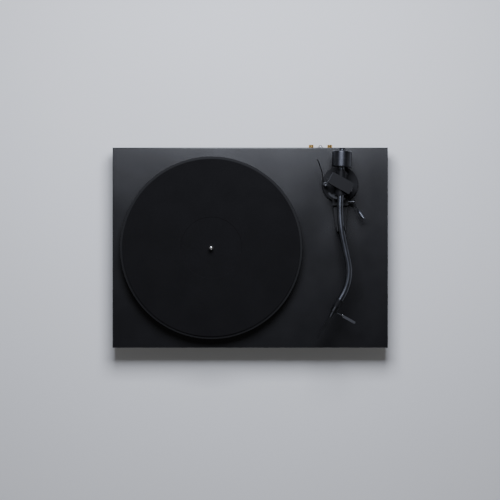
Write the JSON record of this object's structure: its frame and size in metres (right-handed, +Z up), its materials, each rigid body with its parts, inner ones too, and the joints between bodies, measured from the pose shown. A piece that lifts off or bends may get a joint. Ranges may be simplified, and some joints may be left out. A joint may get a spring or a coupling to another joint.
{
  "type": "turntable record player",
  "caption": "Belt-driven record player: black plinth on damped feet, platter with mat, S-shaped tonearm with counterweight on a round base, phono sockets behind.",
  "frame": {"origin": "centre of the whole object's footprint, on the surface that the feet stand on", "axes": "+X towards the tonearm side (the long side), +Y towards the connectors at the back, +Z up"},
  "size_m": [0.455, 0.336, 0.119],
  "materials": {
    "lacquer": "satin lacquer",
    "black_plastic": "fine matt moulding",
    "rubber": "soft matt",
    "steel": "turned",
    "dark_steel": "black oxide",
    "bronze": "sintered bronze",
    "polished_steel": "polished",
    "white_plastic": "plain",
    "platter_coat": "black coated casting",
    "mat": "matt mat",
    "grey_metal": "plain",
    "board": "circuit board",
    "gold": "gold plate",
    "arm_black": "satin black",
    "gloss_black": "gloss black",
    "weight_black": "black coated",
    "cartridge_black": "matt moulding",
    "grey_plastic": "satin"
  },
  "bodies": {
    "base": {"plinth": "lacquer", "base_cover": "black_plastic", "cover_screws": "steel", "foot_front_left": "black_plastic", "foot_front_right": "black_plastic", "foot_back_left": "black_plastic", "foot_back_right": "black_plastic", "pad_front_left": "rubber", "pad_front_right": "rubber", "pad_back_left": "rubber", "pad_back_right": "rubber", "foot_screws": "steel", "bearing_housing": "bronze", "bearing_bushes": "bronze", "thrust_pad": "white_plastic", "thrust_ball": "polished_steel", "bearing_screws": "steel", "drive_belt": "rubber", "motor": "grey_metal", "motor_plate": "grey_metal", "motor_grommets": "rubber", "control_board": "board", "switch_housing": "black_plastic", "rear_panel": "black_plastic", "panel_screws": "steel", "phono_sockets": "gold", "socket_insulators": "white_plastic", "ground_post": "polished_steel", "power_inlet": "black_plastic", "signal_leads": "rubber", "arm_base": "arm_black", "base_screws": "dark_steel", "height_pillar": "arm_black", "vertical_bearings": "steel", "arm_rest": "black_plastic", "lift_housing": "black_plastic", "thread_hanger": "dark_steel"},
    "platter": {"platter": "platter_coat", "spindle": "polished_steel", "sub_platter": "black_plastic", "damping_ring": "rubber", "mat": "mat"},
    "pulley": {"motor_pulley": "grey_metal"},
    "rocker": {"switch_rocker": "black_plastic"},
    "ground_nut": {"ground_nut": "polished_steel"},
    "cue_lever": {"cue_shaft": "dark_steel", "cue_grip": "gloss_black"},
    "cue_lift": {"cue_platform": "grey_plastic"},
    "bearing_block": {"bearing_block": "arm_black", "pivot_screws": "steel", "side_stub": "steel"},
    "tonearm": {"pivot_pins": "polished_steel", "arm_sleeve": "arm_black", "arm_tube": "gloss_black", "cartridge": "cartridge_black", "stylus_unit": "cartridge_black", "finger_lift": "grey_plastic"},
    "locking_collar": {"locking_collar": "arm_black"},
    "weight_carrier": {"weight_insert": "rubber"},
    "counterweight": {"counterweight": "weight_black"}
  },
  "joints": [
    {"name": "platter_spin", "type": "hinge", "parent": "base", "child": "platter", "pos_m": [-0.064, -0.0025, 0.0775], "axis": [0, 0, 1], "continuous": true},
    {"name": "pulley_spin", "type": "hinge", "parent": "base", "child": "pulley", "pos_m": [-0.12824, 0.08925, 0.06], "axis": [0, 0, 1], "continuous": true},
    {"name": "speed_switch", "type": "hinge", "parent": "base", "child": "rocker", "pos_m": [-0.1405, -0.15, 0.029], "axis": [0, 1, 0], "range_deg": [-8, 8]},
    {"name": "ground_nut_turn", "type": "hinge", "parent": "base", "child": "ground_nut", "pos_m": [0.11642, 0.1615, 0.038], "axis": [0, -1, 0], "range_deg": [0, 1080]},
    {"name": "arm_swing", "type": "hinge", "parent": "base", "child": "bearing_block", "pos_m": [0.14802, 0.10229, 0.103], "axis": [0, 0, 1], "range_deg": [-44, 0]},
    {"name": "arm_tilt", "type": "hinge", "parent": "bearing_block", "child": "tonearm", "pos_m": [0.14802, 0.10229, 0.103], "axis": [-0.8734, 0.4869, 0], "range_deg": [-1.9, 0]},
    {"name": "cue_lever_turn", "type": "hinge", "parent": "base", "child": "cue_lever", "pos_m": [0.14802, 0.07299, 0.069], "axis": [-1, 0, 0], "range_deg": [-50, 0]},
    {"name": "cue_platform_rise", "type": "slide", "parent": "base", "child": "cue_lift", "axis": [0, 0, 1], "range_m": [-0.0007413, 0]},
    {"name": "collar_turn", "type": "hinge", "parent": "tonearm", "child": "locking_collar", "pos_m": [0.14, -0.09902, 0.103], "axis": [0.4869, 0.8734, 0], "range_deg": [0, 90]},
    {"name": "counterweight_feed", "type": "slide", "parent": "tonearm", "child": "weight_carrier", "axis": [0.0384, 0.9993, 0], "range_m": [-0.003, 0.003]},
    {"name": "counterweight_turn", "type": "hinge", "parent": "weight_carrier", "child": "counterweight", "pos_m": [0.14955, 0.14226, 0.103], "axis": [0.0384, 0.9993, 0], "range_deg": [-720, 720]}
  ],
  "couplings": [
    {"joint": "pulley_spin", "follows": "platter_spin", "ratio": 7.5},
    {"joint": "cue_lever_turn", "follows": "arm_tilt", "ratio": 26.315},
    {"joint": "cue_platform_rise", "follows": "arm_tilt", "m_per_rad": 0.022295},
    {"joint": "counterweight_feed", "follows": "counterweight_turn", "m_per_rad": -0.00023873}
  ]
}
